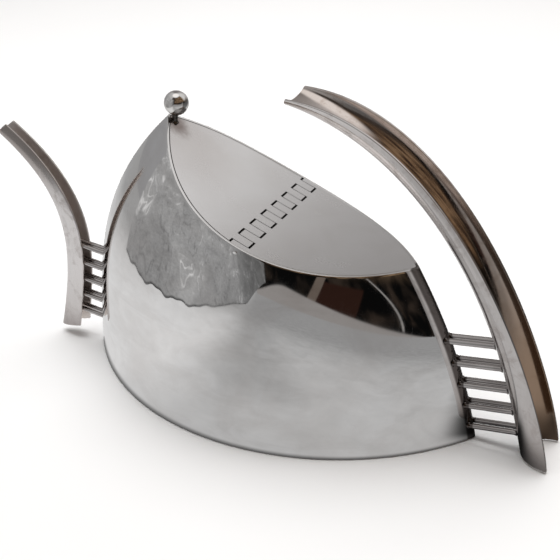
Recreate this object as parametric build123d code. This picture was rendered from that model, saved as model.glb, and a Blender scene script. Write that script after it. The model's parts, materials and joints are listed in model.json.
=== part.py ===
"""Silver teapot: a lens-shaped pot with a scooped top, a comb-hinged lid with a ball knob,
an open gutter spout and an open channel handle, each carried by five pairs of thin rods.
The top pair of the spout's rods are tubes, and the tea leaves the pot through them.

Millimetres. X runs from the spout (-X) to the handle (+X), Y from front (-Y) to back, Z up.
The origin is the middle of the flat base. Everything is symmetric about the XZ plane.
"""
import math
import os

from build123d import *

# ---------------------------------------------------------------- driving dimensions
# Pot body
body_length = 240.0         # nose to tail along the table
body_width = 121.0          # across the middle of the base
width_height = 163.0        # height at which the side walls would meet
width_power = 2.1           # how late the side walls fold in
nose_lean = 0.10            # lean of the nose edge at the table
nose_sweep = 48.5           # how far the nose edge sweeps back at the apex
nose_power = 3.3            # how late the nose edge sweeps back
apex_height = 156.0         # where nose_sweep is reached
tail_lean = 0.177           # lean of the tail edge at the table
tail_curve = 0.00209        # extra lean per millimetre of height
end_radius = 3.0            # rounding of the nose and tail edges, seen from above
wall = 1.5                  # side walls
base_thickness = 1.5        # flat bottom sheet

# Scooped top: the control points of its middle line, in X and Z, from the apex to the tail
top_from_nose = [(64.1, 157.3), (79.4, 138.1)]  # X measured from the nose at the table
top_from_middle = [(-5.2, 98.3)]
top_from_tail = [(-32.7, 94.3)]                 # X measured from the tail at the table
plate = 1.2                 # lid and fixed top
lid_gap = 0.5               # between the lid's edge and the walls

# Comb hinge between the lid and the fixed top
hinge_x = 5.5               # place of the pin along X
pin_radius = 1.0
pin_play = 0.05             # between the pin and the lid's knuckles
knuckle_radius = 2.3
knuckle_flat = 0.5          # how far a knuckle is flattened where it meets its plate
lid_finger_count = 7
end_finger_width = 5.2      # fixed finger at each wall, at its widest
finger_gap = 0.25           # between neighbouring fingers
lid_finger_reach = 4.4      # lid finger tips, past the pin
top_finger_reach = 3.3      # fixed finger tips, past the pin
tip_gap = 1.1               # in front of every finger tip

# Ledge that the closed lid rests on
ledge_width = 3.0
ledge_thickness = 1.2
ledge_clearance = 0.3
ledge_end = 7.0             # ledge stops this far before the pin

# Ball knob
ball_radius = 6.5
stem_radius = 1.5
stem_setback = 3.5          # from the apex to the stem's foot, along X
stem_lean = 11.3            # degrees, toward the handle
stem_show = 3.7             # bare stem between the lid and the ball
stem_seat = 3.0             # how far the stem reaches into the ball

# Spout gutter: middle of the free edges and bottom of the trough, from tip to foot,
# in X and Z, X measured from the nose at the table
spout_edge_points = [(-47.1, 137.0), (13.9, 94.5), (-4.9, 49.6), (-13.1, 9.0)]
spout_web_points = [(-56.7, 130.0), (-12.0, 96.6), (-11.7, 67.4), (-31.3, 4.6)]
spout_half_width = (3.9, 5.5)
spout_wall = 1.2

# Handle channel: middle of the free edges and bottom of the trough, from tip to foot,
# in X and Z, X measured from the tail at the table
handle_edge_points = [(-101.5, 176.7), (-9.8, 174.4), (36.9, 31.8), (41.0, 0.0)]
handle_web_points = [(-103.5, 171.5), (-11.0, 147.5), (14.5, 43.5), (24.3, 0.0)]
handle_half_width = (11.8, 14.6)
handle_wall = 1.7
handle_lift = 0.5           # foot of the handle above the table

# Rods and tubes that carry the handle and the spout, in pairs
rod_rows = 5
rod_rise = 7.5              # degrees, rising away from the pot
handle_rod_radius = 1.5
handle_rod_spacing = 2.6    # each rod off the middle plane
handle_rod_low = 8.2        # height of the lowest row at the tail
handle_rod_pitch = 12.2
spout_rod_radius = 1.4
spout_rod_spacing = 2.15
spout_rod_low = 18.8        # height of the lowest row at the nose
spout_rod_pitch = 11.3
tube_bore = 1.0             # radius of the bore of the two tubes
tube_inside = 8.0           # length of a tube inside the pot, measured from the nose edge
outlet_length = 6.0         # open upper half of each tube at the bottom of the gutter

# Construction
section_heights = [0, 20, 40, 60, 80, 95, 110, 125, 140, 150, 159]
least_end = 0.3             # smallest end rounding left by an inset
deep_end = 0.5              # end rounding of sections set in deeper than that
trough_stations = 9
trough_points = 9
trough_overrun = 0.03       # the trough's surfaces run on this share past its ends
trough_overshoot = 2.0      # the trough's hollow runs on this far past its free edges
trim_size = 60.0            # blocks that cut the trough's ends square
far = 300.0                 # larger than anything here


# ---------------------------------------------------------------- curves in their places
def shifted(points, x):
    """Points in X and Z, moved along X."""
    return [(x + point[0], point[1]) for point in points]


nose_foot = -body_length / 2
tail_foot = body_length / 2
top_curve = [*shifted(top_from_nose, nose_foot), *top_from_middle,
             *shifted(top_from_tail, tail_foot)]
spout_edge = shifted(spout_edge_points, nose_foot)
spout_web = shifted(spout_web_points, nose_foot)
handle_edge = shifted(handle_edge_points, tail_foot)
handle_web = shifted(handle_web_points, tail_foot)


# ---------------------------------------------------------------- body shape
def nose_x(z):
    """X of the nose edge at height z."""
    return nose_foot + nose_lean * z + nose_sweep * (z / apex_height) ** nose_power


def tail_x(z):
    """X of the tail edge at height z."""
    return tail_foot - tail_lean * z - tail_curve * z * z


def half_width(z):
    """Half of the pot's width at height z."""
    return body_width / 2 * math.sqrt(1 - (z / width_height) ** width_power)


def lens_face(z, inset):
    """Lens-shaped section at height z: two long bows joined by a small arc at each end."""
    half_length = (tail_x(z) - nose_x(z)) / 2
    middle = (tail_x(z) + nose_x(z)) / 2
    width = half_width(z)
    end = end_radius
    if inset > end_radius - least_end:
        # deep insets keep a small round end of their own
        half_length = half_length - 2 * inset
        width = width - inset
        end = deep_end
        inset = 0.0
    bow = (half_length**2 + width**2 - 2 * half_length * end) / (2 * (width - end))
    reach = half_length - end
    drop = bow - width
    angle = math.degrees(math.atan2(drop, reach))
    edges = [
        CenterArc((middle, -drop, z), bow - inset, angle, 180 - 2 * angle),
        CenterArc((middle - reach, 0, z), end - inset, 180 - angle, 2 * angle),
        CenterArc((middle, drop, z), bow - inset, 180 + angle, 180 - 2 * angle),
        CenterArc((middle + reach, 0, z), end - inset, -angle, 2 * angle),
    ]
    return make_face(Wire(edges))


def lens_solid(inset, heights):
    """The pot's shape filled solid, drawn in from its outside by inset."""
    return loft([lens_face(z, inset) for z in heights])


# ---------------------------------------------------------------- scooped top
def offset_legs(points, depth):
    """The control points moved to the lower side of the curve by depth."""
    legs = [Vector(*b) - Vector(*a) for a, b in zip(points[:-1], points[1:])]
    normals = [Vector(leg.Y, -leg.X).normalized() for leg in legs]
    mixed = [normals[0]]
    for before, after in zip(normals[:-1], normals[1:]):
        mitre = before + after
        mixed.append(mitre * (2 / mitre.dot(mitre)))
    mixed.append(normals[-1])
    return [Vector(*p) + n * depth for p, n in zip(points, mixed)]


def to_xz(point):
    """A point given in X and Z, placed on the middle plane."""
    return Vector(point.X, 0, point.Y)


def top_line(depth):
    """The scoop's middle line, depth below the surface, run on past both ends."""
    a, b, c, d = offset_legs(top_curve, depth)
    start = a + (a - b).normalized() * 20
    finish = d + (d - c).normalized() * 20
    return [
        Line(to_xz(start), to_xz(a)),
        Bezier(to_xz(a), to_xz(b), to_xz(c), to_xz(d)),
        Line(to_xz(d), to_xz(finish)),
    ]


def between(depth_a, depth_b):
    """Everything between two depths under the scooped surface, across the whole width."""
    upper = Wire(top_line(depth_a))
    lower = Wire(top_line(depth_b))
    outline = Wire([*upper.edges(), *lower.edges(),
                    Line(upper @ 0, lower @ 0), Line(upper @ 1, lower @ 1)])
    return extrude(make_face(outline), far, dir=(0, 1, 0), both=True)


def above(depth):
    """Everything higher than a depth under the scooped surface."""
    line = Wire(top_line(depth))
    start = line @ 0
    finish = line @ 1
    corner_a = Vector(start.X, 0, far)
    corner_b = Vector(finish.X, 0, far)
    outline = Wire([*line.edges(), Line(start, corner_a), Line(corner_a, corner_b),
                    Line(corner_b, finish)])
    return extrude(make_face(outline), far, dir=(0, 1, 0), both=True)


def top_height(x):
    """Height of the scooped surface over x."""
    post = Line((x, 0, 0), (x, 0, far))
    curve = Wire(top_line(0))
    return post.distance_to_with_closest_points(curve)[1].Z


def block(x_low, x_high, y_low, y_high, z_low, z_high):
    """A box given by its limits."""
    size = (x_high - x_low, y_high - y_low, z_high - z_low)
    middle = ((x_low + x_high) / 2, (y_low + y_high) / 2, (z_low + z_high) / 2)
    return Pos(*middle) * Box(*size)


outer_body = lens_solid(0.0, section_heights)
inner_body = lens_solid(wall, section_heights)
sky = above(0.0)

# ---------------------------------------------------------------- hinge places
pin_depth = plate + knuckle_radius - knuckle_flat
hinge_z = top_height(hinge_x) - pin_depth
comb_half_width = half_width(hinge_z) - wall - end_finger_width
finger_pitch = 2 * comb_half_width / (2 * lid_finger_count - 1)
finger_edges = [(i - lid_finger_count + 0.5) * finger_pitch for i in range(2 * lid_finger_count)]
lid_spans = list(zip(finger_edges[0::2], finger_edges[1::2]))
inner_spans = list(zip(finger_edges[1:-1:2], finger_edges[2:-1:2]))
end_spans = [(-far, finger_edges[0]), (finger_edges[-1], far)]
top_spans = [*inner_spans, *end_spans]
half_gap = finger_gap / 2

lid_root = hinge_x - top_finger_reach - tip_gap
lid_tip = hinge_x + lid_finger_reach
top_root = lid_tip + tip_gap
top_tip = hinge_x - top_finger_reach


def y_cylinder(radius, y_low, y_high):
    """A cylinder on the hinge axis."""
    middle = Pos(hinge_x, (y_low + y_high) / 2, hinge_z)
    return middle * Rot(90, 0, 0) * Cylinder(radius, y_high - y_low)


def knuckles(spans, bore):
    """Barrels under the fingers, one for each span, cut to meet the plate's underside."""
    barrels = []
    for low, high in spans:
        low = max(low + half_gap, -body_width / 2)
        high = min(high - half_gap, body_width / 2)
        barrel = y_cylinder(knuckle_radius, low, high) - y_cylinder(bore, low - 1, high + 1)
        barrel = (barrel - above(plate)) & inner_body
        barrels.extend(barrel.solids())
    return barrels


# ---------------------------------------------------------------- rods
def rod_line(height, edge_x, outward, y):
    """Plane where a rod meets the pot's end edge: Z outward along the rod, X across the pot."""
    rise = math.radians(rod_rise)
    direction = (outward * math.cos(rise), 0, math.sin(rise))
    return Plane(origin=(edge_x, y, height), x_dir=(0, 1, 0), z_dir=direction)


def rod(plane, radius, start, finish):
    """A round bar along the plane's axis from start to finish."""
    return plane * Pos(0, 0, (start + finish) / 2) * Cylinder(radius, finish - start)


def row_heights(lowest, pitch):
    """Heights of the rows, from the top one down."""
    return [lowest + i * pitch for i in reversed(range(rod_rows))]


handle_rod_heights = row_heights(handle_rod_low, handle_rod_pitch)
spout_rod_heights = row_heights(spout_rod_low, spout_rod_pitch)


# ---------------------------------------------------------------- troughs
def bezier_point(points, t):
    """Point of a cubic curve in X and Z."""
    s = 1 - t
    weights = (s**3, 3 * s * s * t, 3 * s * t * t, t**3)
    return Vector(
        sum(w * p[0] for w, p in zip(weights, points)),
        0,
        sum(w * p[1] for w, p in zip(weights, points)),
    )


def trough_plane(edge_curve, web_curve, t):
    """Plane of a trough's section at t: X across, Z along the trough toward its foot."""
    edge = bezier_point(edge_curve, t)
    web = bezier_point(web_curve, t)
    return Plane(origin=edge, x_dir=(0, 1, 0), z_dir=(web - edge).cross(Vector(0, 1, 0)))


def trough_face(edge_curve, web_curve, half_widths, t, inset, overshoot):
    """Half-elliptic section of a trough at t, its flat side across the free edges."""
    plane = trough_plane(edge_curve, web_curve, t)
    web = plane.to_local_coords(bezier_point(web_curve, t))
    depth = web.length - inset
    half = half_widths[0] + (half_widths[1] - half_widths[0]) * t - inset
    side = 1 if web.Y > 0 else -1
    angles = [math.pi * i / (trough_points - 1) for i in range(trough_points)]
    points = [(half * math.cos(a), side * depth * math.sin(a)) for a in angles]
    curve = Spline(*points, tangents=[(0, side), (0, -side)])
    low = -side * overshoot
    outline = [curve]
    if overshoot > 0:
        outline.append(Polyline(points[-1], (-half, low), (half, low), points[0]))
    else:
        outline.append(Line(points[-1], points[0]))
    return plane * make_face(outline)


def trough_solid(edge_curve, web_curve, half_widths, inset, overshoot):
    """The trough's shape filled solid, drawn in by inset, and run on past both ends."""
    steps = [i / (trough_stations - 1) for i in range(trough_stations)]
    steps = [-trough_overrun + (1 + 2 * trough_overrun) * s for s in steps]
    faces = [trough_face(edge_curve, web_curve, half_widths, t, inset, overshoot) for t in steps]
    return loft(faces)


def past_end(edge_curve, web_curve, t):
    """A block beyond the trough's end section at t."""
    plane = trough_plane(edge_curve, web_curve, t)
    trough_side = plane.to_local_coords(bezier_point(edge_curve, 0.5)).Z
    shift = -math.copysign(trim_size / 2, trough_side)
    return plane * Pos(0, 0, shift) * Box(trim_size, trim_size, trim_size)


handle_ends = (handle_edge, handle_web)
spout_ends = (spout_edge, spout_web)
handle_outer = trough_solid(*handle_ends, handle_half_width, 0.0, 0.0)
handle_inner = trough_solid(*handle_ends, handle_half_width, handle_wall, trough_overshoot)
spout_outer = trough_solid(*spout_ends, spout_half_width, 0.0, 0.0)
spout_inner = trough_solid(*spout_ends, spout_half_width, spout_wall, trough_overshoot)
table = block(-far, far, -far, far, -far, handle_lift)


# ---------------------------------------------------------------- sub-parts
def make_walls():
    """Front and rear walls, with the holes for the hinge pin and the spout tubes."""
    shell = outer_body - inner_body - sky
    shell -= y_cylinder(pin_radius, -far, far)
    tube_height = spout_rod_heights[0]
    for side in (-1, 1):
        line = rod_line(tube_height, nose_x(tube_height), -1, side * spout_rod_spacing)
        shell -= rod(line, spout_rod_radius, -tube_inside, 5)
    front = shell & block(-far, far, -far, 0, -far, far)
    rear = shell & block(-far, far, 0, far, -far, far)
    return front, rear


def make_base():
    """Flat bottom sheet, let in between the walls."""
    return inner_body & block(-far, far, -far, far, -far, base_thickness)


def comb(x_edge, x_tip, spans, beyond):
    """Plan of a plate with fingers: everything beyond x_edge, and one bar for each span."""
    low, high = sorted((x_edge, x_tip))
    plan = block(-far, x_edge, -far, far, -far, far) if beyond < 0 else \
        block(x_edge, far, -far, far, -far, far)
    for y_low, y_high in spans:
        plan += block(low - 1 if beyond < 0 else low, high if beyond < 0 else high + 1,
                      y_low + half_gap, y_high - half_gap, -far, far)
    return plan


def make_fixed_top():
    """Rear part of the scooped top, soldered between the walls."""
    return between(0.0, plate) & inner_body & comb(top_root, top_tip, top_spans, 1)


def make_lid():
    """Front part of the scooped top, which lifts."""
    inside = lens_solid(wall + lid_gap, section_heights)
    return between(0.0, plate) & inside & comb(lid_root, lid_tip, lid_spans, -1)


def make_ledges():
    """Strips inside the walls that the closed lid rests on."""
    top = plate + ledge_clearance
    ring = inner_body - lens_solid(wall + ledge_width, section_heights)
    ring = ring & between(top, top + ledge_thickness)
    end = hinge_x - ledge_end
    front = ring & block(-far, end, -far, 0, -far, far)
    rear = ring & block(-far, end, 0, far, -far, far)
    return front, rear


def make_knob():
    """Ball and the short stem that holds it on the lid."""
    foot_x = top_curve[0][0] + stem_setback
    foot = Vector(foot_x, 0, top_height(foot_x))
    lean = math.radians(stem_lean)
    axis = Plane(origin=foot, x_dir=(0, 1, 0), z_dir=(math.sin(lean), 0, math.cos(lean)))
    stem = rod(axis, stem_radius, -4, stem_show + stem_seat)
    ball = axis * Pos(0, 0, stem_show + ball_radius) * Sphere(ball_radius) - stem
    stem = stem - between(0.0, far)
    return ball, stem


def make_handle():
    """Open channel, cut square at its tip and level at its foot."""
    return handle_outer - handle_inner - past_end(*handle_ends, 0) - table


def bar_between(line, radius, trough):
    """The stretch of a round bar that reaches from the pot to a trough."""
    bar = rod(line, radius, -6, 36) - outer_body - trough
    return min(bar.solids(), key=lambda solid: (solid.center() - line.origin).length)


def make_handle_rods(height):
    """A pair of round rods from the tail edge to the back of the channel."""
    pair = []
    for side in (-1, 1):
        line = rod_line(height, tail_x(height), 1, side * handle_rod_spacing)
        pair.append(bar_between(line, handle_rod_radius, handle_outer))
    return pair


def make_spout():
    """Open gutter, cut square at both ends."""
    return spout_outer - spout_inner - past_end(*spout_ends, 0) - past_end(*spout_ends, 1)


def make_spout_rods(height, gutter):
    """A pair of round rods from the nose edge to the bottom of the gutter."""
    pair = []
    for side in (-1, 1):
        line = rod_line(height, nose_x(height), -1, side * spout_rod_spacing)
        pair.append(bar_between(line, spout_rod_radius, gutter))
    return pair


def make_spout_tubes(height, gutter):
    """A pair of tubes from inside the pot to the bottom of the gutter, open above at the end."""
    pair = []
    for side in (-1, 1):
        line = rod_line(height, nose_x(height), -1, side * spout_rod_spacing)
        tube = rod(line, spout_rod_radius, -tube_inside, 40) - gutter
        tube = min(tube.solids(), key=lambda solid: (solid.center() - line.origin).length)
        length = (line.origin.X - tube.bounding_box().min.X) / math.cos(math.radians(rod_rise))
        tube = tube - rod(line, tube_bore, -far, far)
        size = 4 * spout_rod_radius
        upper = line * Pos(0, -size / 2, length) * Box(size, size, 2 * outlet_length)
        pair.extend((tube - upper).solids())
    return pair


front_wall, rear_wall = make_walls()
ledge_front, ledge_rear = make_ledges()
ball_knob, knob_stem = make_knob()
spout = make_spout()

nodes = {
    "front_wall": front_wall,
    "rear_wall": rear_wall,
    "base_plate": make_base(),
    "fixed_top": make_fixed_top(),
    "lid_plate": make_lid(),
    "lid_ledge_front": ledge_front,
    "lid_ledge_rear": ledge_rear,
    "fixed_knuckles": Compound(knuckles(top_spans, pin_radius)),
    "lid_knuckles": Compound(knuckles(lid_spans, pin_radius + pin_play)),
    "hinge_pin": y_cylinder(pin_radius, -far / 2, far / 2) & outer_body,
    "ball_knob": ball_knob,
    "knob_stem": knob_stem,
    "spout_gutter": spout,
    "handle_channel": make_handle(),
}
nodes["spout_tubes"] = Compound(make_spout_tubes(spout_rod_heights[0], spout))
for row in range(1, rod_rows):
    nodes[f"spout_rods_{row + 1}"] = Compound(make_spout_rods(spout_rod_heights[row], spout))
for row in range(rod_rows):
    nodes[f"handle_rods_{row + 1}"] = Compound(make_handle_rods(handle_rod_heights[row]))

os.makedirs("parts", exist_ok=True)
for name, shape in nodes.items():
    if not isinstance(shape, Compound):
        shape = Compound(shape.solids())
    shape.label = name
    export_step(shape, f"parts/{name}.step")
    print(f"{name}: {len(shape.solids())} solids, {shape.volume:.1f} mm3")
print(f"hinge axis: x {hinge_x:.3f}, z {hinge_z:.3f}")
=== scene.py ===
# %% [markdown]
# A silver teapot, finished in Blender around a CAD frame.
#
# The frame holds every piece at its real size and place, in metres: +X from the spout to the
# handle, +Y from front to back, +Z up, with the middle of the flat base at the origin. Polished
# silver shows nothing but reflections, so a facet or a bump of a hundredth of a millimetre would
# show. The curved pieces are therefore worked out again here from their formulas, as fine grids.
# The base, the pieces hidden inside the pot and the spout's straight bars keep their CAD meshes.

# %% Load the frame
import json
import math

import bmesh
import bpy
import numpy as np
from mathutils import Matrix, Vector


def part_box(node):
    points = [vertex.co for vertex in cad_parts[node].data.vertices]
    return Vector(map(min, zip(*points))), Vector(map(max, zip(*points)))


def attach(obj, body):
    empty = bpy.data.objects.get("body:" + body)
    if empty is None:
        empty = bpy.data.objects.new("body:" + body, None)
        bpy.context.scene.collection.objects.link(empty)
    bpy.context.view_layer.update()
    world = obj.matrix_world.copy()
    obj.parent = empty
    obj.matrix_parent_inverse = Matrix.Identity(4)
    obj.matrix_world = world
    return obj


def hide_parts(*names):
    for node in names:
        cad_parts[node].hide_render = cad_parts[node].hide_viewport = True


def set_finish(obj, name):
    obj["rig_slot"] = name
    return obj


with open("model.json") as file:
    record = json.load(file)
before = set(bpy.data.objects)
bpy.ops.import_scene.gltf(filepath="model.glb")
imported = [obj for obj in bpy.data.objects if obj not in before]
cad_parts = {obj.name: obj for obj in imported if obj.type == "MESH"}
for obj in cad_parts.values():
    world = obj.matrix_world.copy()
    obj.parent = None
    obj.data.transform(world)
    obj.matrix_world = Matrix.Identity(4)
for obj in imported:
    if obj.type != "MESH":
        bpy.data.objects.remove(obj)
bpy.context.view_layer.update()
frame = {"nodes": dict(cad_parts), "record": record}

MM = 0.001

# %% [markdown]
# The driving sizes, in millimetres. The pot is a lens in plan: two long bows that meet in a
# small round nose and tail. Its nose leans back late and its tail leans in early, so the side
# view is a sail. The scooped top is a cylinder whose generators run across the pot, and its
# middle line is one Bezier curve. Spout and handle are troughs: the section is half an ellipse,
# hung between a curve for the free edges and a curve for the bottom of the trough.

# %% Driving sizes
body_length, body_width = 240.0, 121.0
width_height, width_power = 163.0, 2.1
nose_lean, nose_sweep, nose_power, apex_height = 0.10, 48.5, 3.3, 156.0
tail_lean, tail_curve = 0.177, 0.00209
end_radius, wall = 3.0, 1.5
plate, lid_gap = 1.2, 0.5
hinge_x, lid_tip, lid_root = 5.5, 9.9, 1.1
top_tip, top_root = 2.2, 11.0
finger_count, end_finger_width = 7, 5.2
knuckle_depth, pin_radius = 3.0, 1.0
ball_radius, stem_radius, stem_setback, stem_lean, stem_show = 6.5, 1.5, 3.5, 11.3, 3.7
rod_rise = math.radians(7.5)
rod_rows, rod_low, rod_pitch, rod_spacing, rod_radius = 5, 8.2, 12.2, 2.6, 1.5
rod_short = 0.5             # how far before the CAD rods' ends these rods stop, inside the sheet
spout_halves, spout_sheet = (3.9, 5.5), 1.2     # half widths at the tip and the foot; thickness
handle_halves, handle_sheet = (11.8, 14.6), 1.7
handle_lift = 0.5           # how far the handle's foot hangs clear of the table
rim_trim = 0.15             # how far a trough's rim and bottom draw in, to keep within the frame
seen_gap = 0.4              # the comb's side gaps as they show, with their soft corners
nose_foot, tail_foot = -body_length / 2, body_length / 2


def placed(points, x):
    """Points given in X and Z, moved along X, as an array."""
    return np.array(points) + np.array([x, 0.0])


top_curve = np.vstack([placed([(64.1, 157.3), (79.4, 138.1)], nose_foot), [(-5.2, 98.3)],
                       placed([(-32.7, 94.3)], tail_foot)])
spout_edge = placed([(-47.1, 137.0), (13.9, 94.5), (-4.9, 49.6), (-13.1, 9.0)], nose_foot)
spout_web = placed([(-56.7, 130.0), (-12.0, 96.6), (-11.7, 67.4), (-31.3, 4.6)], nose_foot)
handle_edge = placed([(-101.5, 176.7), (-9.8, 174.4), (36.9, 31.8), (41.0, 0.0)], tail_foot)
handle_web = placed([(-103.5, 171.5), (-11.0, 147.5), (14.5, 43.5), (24.3, 0.0)], tail_foot)
print("base, mm:", body_length, "x", body_width, " rows of handle rods:", rod_rows)

# %% [markdown]
# The pot's outline. On the real pot two bowed sheets meet in a narrow nose and tail. Their edges
# could be traced as curves point by point, but a lean and a power of the height say the same in
# one line. Each formula takes whole arrays, so a grid of a hundred thousand points costs one call.


# %% The pot's outline and section
def nose_x(z):
    """X of the nose edge: a straight lean plus a power of the height."""
    return nose_foot + nose_lean * z + nose_sweep * (np.maximum(z, 0) / apex_height) ** nose_power


def tail_x(z):
    """X of the tail edge: a straight lean plus a square of the height."""
    return tail_foot - tail_lean * z - tail_curve * z * z


def half_width(z):
    """Half width: the base's times the root of one minus a power of the height."""
    return body_width / 2 * np.sqrt(np.maximum(1 - (z / width_height) ** width_power, 1e-6))


def lens(z, inset):
    """Half length, middle, bow radius, bow drop and end angle of the section at height z.

    The bow is the circle through the widest point that both end arcs touch from inside.
    """
    half = (tail_x(z) - nose_x(z)) / 2
    middle = (tail_x(z) + nose_x(z)) / 2
    width = half_width(z)
    bow = (half**2 + width**2 - 2 * half * end_radius) / (2 * (width - end_radius))
    drop = bow - width
    angle = np.arctan2(drop, half - end_radius)
    return half, middle, bow - inset, drop, angle


print("nose and tail at the apex, mm:", [round(float(f(apex_height)), 1) for f in (nose_x, tail_x)])

# %% [markdown]
# A wall as a function of two parameters. Running along it from nose to tail, the sheet follows a
# tight arc, the long bow and another tight arc. These three circles touch without a corner, so
# one turning direction describes them all and the reflections run on smoothly.


# %% A point of the wall
def wall_point(u, z, inset):
    """A point of the front wall: u runs 0 to 1 along the nose arc, the bow and the tail arc.

    The normal's direction turns from the nose over the front to the tail, and the point lies
    one radius along it from the centre of whichever arc it is on.
    """
    half, middle, bow, drop, angle = lens(z, inset)
    end_share = 0.08
    nose = np.clip(u / end_share, 0, 1)
    side = np.clip((u - end_share) / (1 - 2 * end_share), 0, 1)
    tail = np.clip((u - 1 + end_share) / end_share, 0, 1)
    turn = math.pi + angle * (nose + tail) + (math.pi - 2 * angle) * side
    on_nose, on_tail = u < end_share, u > 1 - end_share
    radius = np.where(on_nose | on_tail, end_radius - inset, bow)
    reach = half - end_radius
    centre_x = middle + np.where(on_nose, -reach, np.where(on_tail, reach, 0))
    centre_y = np.where(on_nose | on_tail, 0, drop)
    x = centre_x + radius * np.cos(turn)
    y = np.minimum(centre_y + radius * np.sin(turn), 0)
    return x, y


print("front of the base, mm:", np.round(wall_point(np.array(0.5), 0.0, 0.0), 2))

# %% [markdown]
# The scoop. The top of the pot looks as if it were cut by one bent sheet that is straight across.
# A Boolean cut would leave ragged faces along the rim, so the cut is a height over x instead, and
# the place where a wall reaches that height is found by halving steps.


# %% The scoop
def bezier(points, t):
    """Points of a cubic Bezier curve: four points weighed by 1, 3, 3, 1 and the powers of t."""
    t = np.asarray(t, float)[..., None]
    s = 1 - t
    return (s**3 * points[0] + 3 * s * s * t * points[1]
            + 3 * s * t * t * points[2] + t**3 * points[3])


def bezier_slope(points, t):
    """Its slope: three times the legs between the points, weighed by 1, 2, 1 and the powers."""
    t = np.asarray(t, float)[..., None]
    s = 1 - t
    legs = np.diff(points, axis=0)
    return 3 * (s * s * legs[0] + 2 * s * t * legs[1] + t * t * legs[2])


scoop_t = np.linspace(0, 1, 1500)
scoop_line = bezier(top_curve, scoop_t)
scoop_slope = bezier_slope(top_curve, scoop_t)


def scoop_height(x):
    """Height of the scooped surface over x, run on straight past both ends of its curve."""
    inner = np.interp(x, scoop_line[:, 0], scoop_line[:, 1])
    first = scoop_slope[0, 1] / scoop_slope[0, 0]
    last = scoop_slope[-1, 1] / scoop_slope[-1, 0]
    before = (np.minimum(x, scoop_line[0, 0]) - scoop_line[0, 0]) * first
    after = (np.maximum(x, scoop_line[-1, 0]) - scoop_line[-1, 0]) * last
    return inner + before + after


lowest_rim, highest_rim, halvings = 60.0, 162.0, 50


def rim_height(u, inset, depth):
    """Height where the wall at u meets the scoop, depth below it: halving steps, all at once."""
    low, high = np.full_like(u, lowest_rim), np.full_like(u, highest_rim)
    for _ in range(halvings):
        z = (low + high) / 2
        x, _ = wall_point(u, z, inset)
        under = z < scoop_height(x) - depth
        low, high = np.where(under, z, low), np.where(under, high, z)
    return (low + high) / 2


print("apex height, mm:", round(float(rim_height(np.array([0.0]), 0.0, 0.0)[0]), 2))

# %% [markdown]
# One helper turns a grid of points into a mesh. Edges that turn by more than a set angle are
# marked sharp and everything else shades smooth, which is what a polished sheet needs. A cut and
# polished edge also shows a thin bright line, which a narrow Bevel gives it.


# %% Grids to meshes
made = []
same_place = 1e-7           # metres within which two points are one


def mesh_piece(name, points, faces, sharp=35.0, merge=False):
    """A mesh object from points in millimetres and a list of arrays of faces of four corners.

    The volume is the sum, over the faces' triangles, of the triple product of their corners;
    where it comes out negative the shape is inside out, and every face is turned over.
    """
    points, faces = np.asarray(points, float), np.vstack(faces)
    a, b, c, d = (points[faces[:, k]] for k in range(4))
    volume = (np.cross(a, b) * c + np.cross(a, c) * d).sum() / 6
    if volume < 0:
        faces = faces[:, ::-1]
    mesh = bpy.data.meshes.new(name)
    mesh.from_pydata((points * MM).tolist(), [], faces.tolist())
    if merge:
        work = bmesh.new()
        work.from_mesh(mesh)
        bmesh.ops.remove_doubles(work, verts=work.verts, dist=same_place)
        loose = [v for v in work.verts if not v.link_faces]
        bmesh.ops.delete(work, geom=loose, context="VERTS")
        work.to_mesh(mesh)
        work.free()
    mesh.validate()
    mesh.shade_smooth()
    mesh.set_sharp_from_angle(angle=math.radians(sharp))
    piece = bpy.data.objects.new(name, mesh)
    bpy.context.scene.collection.objects.link(piece)
    made.append(piece)
    return piece


def quads(rows, columns, closed=False, start=0):
    """Faces of a grid of rows by columns, whose columns may close on themselves."""
    last = columns if closed else columns - 1
    i, j = np.meshgrid(np.arange(rows - 1), np.arange(last), indexing="ij")
    k = (j + 1) % columns
    corners = [i * columns + j, i * columns + k, (i + 1) * columns + k, (i + 1) * columns + j]
    return start + np.stack(corners, -1).reshape(-1, 4)


def soften_edges(piece, width, angle):
    """A narrow Bevel, width in millimetres, on edges that turn by more than angle degrees."""
    bevel = piece.modifiers.new("edge", "BEVEL")
    bevel.width, bevel.segments = width * MM, 2
    bevel.limit_method, bevel.angle_limit = "ANGLE", math.radians(angle)
    bevel.harden_normals = True


def ride_as(piece, body, slot, *nodes):
    """The piece stands for these CAD nodes, moves with their body and has their finish."""
    if nodes:
        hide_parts(*nodes)
    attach(piece, body)
    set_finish(piece, slot)
    return piece


print("pieces so far:", len(made))

# %% [markdown]
# The front and rear walls are two sheets soldered along the nose and the tail. A sheet could be
# a flat grid with Solidify, but its rim lies on the scoop, so each column of the grid is carried
# up the outside, rounded over the rim and brought down the inside, which closes the sheet at
# once. The rear wall is the same grid with Y turned over and its faces with it.

# %% Walls
wall_columns = 230
climb_rows = 120
rim_round = 0.25
rim_steps = 5


def wall_grid():
    """Columns along the wall; rows up the outside, over the rim and down the inside."""
    u = np.linspace(0, 1, wall_columns)
    turn = np.linspace(0, math.pi / 2, rim_steps)
    rounding = [(rim_round * (1 - math.cos(a)), rim_round * (1 - math.sin(a))) for a in turn]
    over = rounding + [(wall - inset, depth) for inset, depth in reversed(rounding)]
    outside_top = rim_height(u, *over[0])
    inside_top = rim_height(u, *over[-1])
    rows = [(0.0, outside_top * share) for share in np.linspace(0, 1, climb_rows)[:-1]]
    rows += [(inset, rim_height(u, inset, depth)) for inset, depth in over]
    rows += [(wall, inside_top * share) for share in np.linspace(1, 0, climb_rows)[1:]]
    grid = []
    for inset, z in rows:
        x, y = wall_point(u, z, inset)
        grid.append(np.stack([x, y, z], -1))
    return np.array(grid)


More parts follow.
